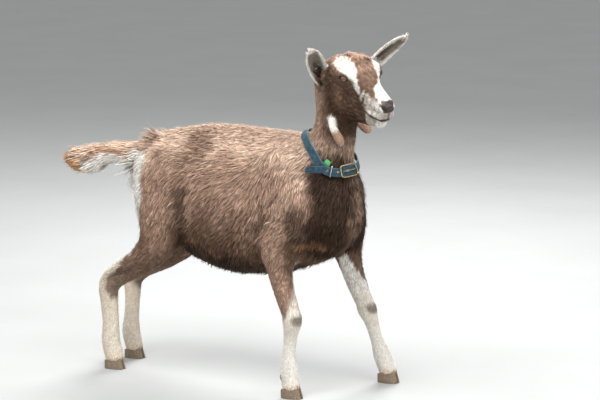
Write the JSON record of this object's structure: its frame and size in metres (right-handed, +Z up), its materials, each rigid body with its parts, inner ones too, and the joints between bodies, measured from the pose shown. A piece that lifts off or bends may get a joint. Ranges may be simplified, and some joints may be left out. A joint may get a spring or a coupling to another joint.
{
  "type": "young dairy goat with a collar, still life-size model",
  "caption": "Life-size standing young hornless goat, head turned to its right, tail out behind, ears up, throat wattles, and a buckled webbing collar.",
  "frame": {"origin": "middle of the model's box seen from above, on the floor under the belly", "axes": "+Z up, +X the way the body faces, +Y towards the goat's left side"},
  "size_m": [0.9404, 0.3252, 0.848],
  "materials": {
    "coat": "short brown hair with white markings, over skin",
    "eye": "wet gloss, amber iris with a dark pupil lying level",
    "hoof": "horn, worn satin",
    "webbing": "faded teal nylon weave",
    "buckle": "tarnished",
    "ring": "dulled plating",
    "tag": "plain green plastic"
  },
  "bodies": {
    "root": {"collar_buckle_frame": "buckle", "collar_buckle_tongue": "buckle", "collar_eyelet_1": "buckle", "collar_eyelet_2": "buckle", "collar_eyelet_3": "buckle", "collar_free_end": "webbing", "collar_keeper_ring": "ring", "collar_strap": "webbing", "collar_tag": "tag", "ear_left": "coat", "ear_right": "coat", "eye_left": "eye", "eye_right": "eye", "foreleg_left": "coat", "foreleg_left_claw_left": "hoof", "foreleg_left_claw_right": "hoof", "foreleg_right": "coat", "foreleg_right_claw_left": "hoof", "foreleg_right_claw_right": "hoof", "head": "coat", "hindleg_left": "coat", "hindleg_left_claw_left": "hoof", "hindleg_left_claw_right": "hoof", "hindleg_right": "coat", "hindleg_right_claw_left": "hoof", "hindleg_right_claw_right": "hoof", "neck": "coat", "tail": "coat", "trunk": "coat", "wattle_left": "coat", "wattle_right": "coat"}
  },
  "joints": []
}
